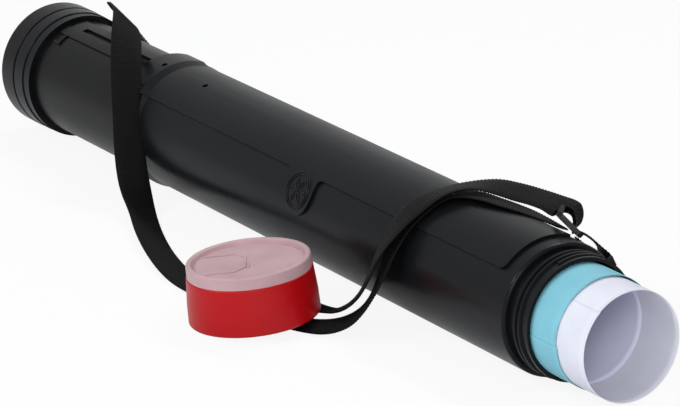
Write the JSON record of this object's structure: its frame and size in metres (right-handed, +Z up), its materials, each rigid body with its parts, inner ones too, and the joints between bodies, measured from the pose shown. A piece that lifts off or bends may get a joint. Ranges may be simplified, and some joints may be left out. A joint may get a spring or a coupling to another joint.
{
  "type": "telescopic drawing tube",
  "caption": "Telescopic plastic tube for rolled drawings, with a carrying strap, its screw cap lying open beside it and rolled sheets standing out of the mouth.",
  "frame": {"origin": "on the floor, below the middle of the object's box without the strap's own pieces", "axes": "+X along the tube's axis towards its open mouth, +Z up, -Y towards the side that the screw cap lies on"},
  "size_m": [0.8335, 0.2338, 0.1292],
  "materials": {
    "tube_black": "satin moulded polypropylene",
    "inner_black": "satin moulded polypropylene",
    "cap_red": "satin red plastic",
    "disc_clear": "frosted translucent plastic",
    "paper_teal": "matt coloured sheet",
    "paper_white": "matt white sheet",
    "webbing": "ribbed woven webbing",
    "buckle_black": "fine textured plastic"
  },
  "bodies": {
    "outer": {"outer_tube": "tube_black", "screw_cap": "cap_red", "cap_disc": "disc_clear", "teal_roll": "paper_teal", "white_roll": "paper_white", "strap_main": "webbing", "strap_tail": "webbing", "strap_buckle": "buckle_black", "anchor_loop": "webbing"},
    "inner": {"inner_tube": "inner_black", "base_cap": "tube_black"}
  },
  "joints": [
    {"name": "tube_slide", "type": "slide", "parent": "outer", "child": "inner", "axis": [-1, 0, 0], "range_m": [-0.143, 0.316]}
  ]
}
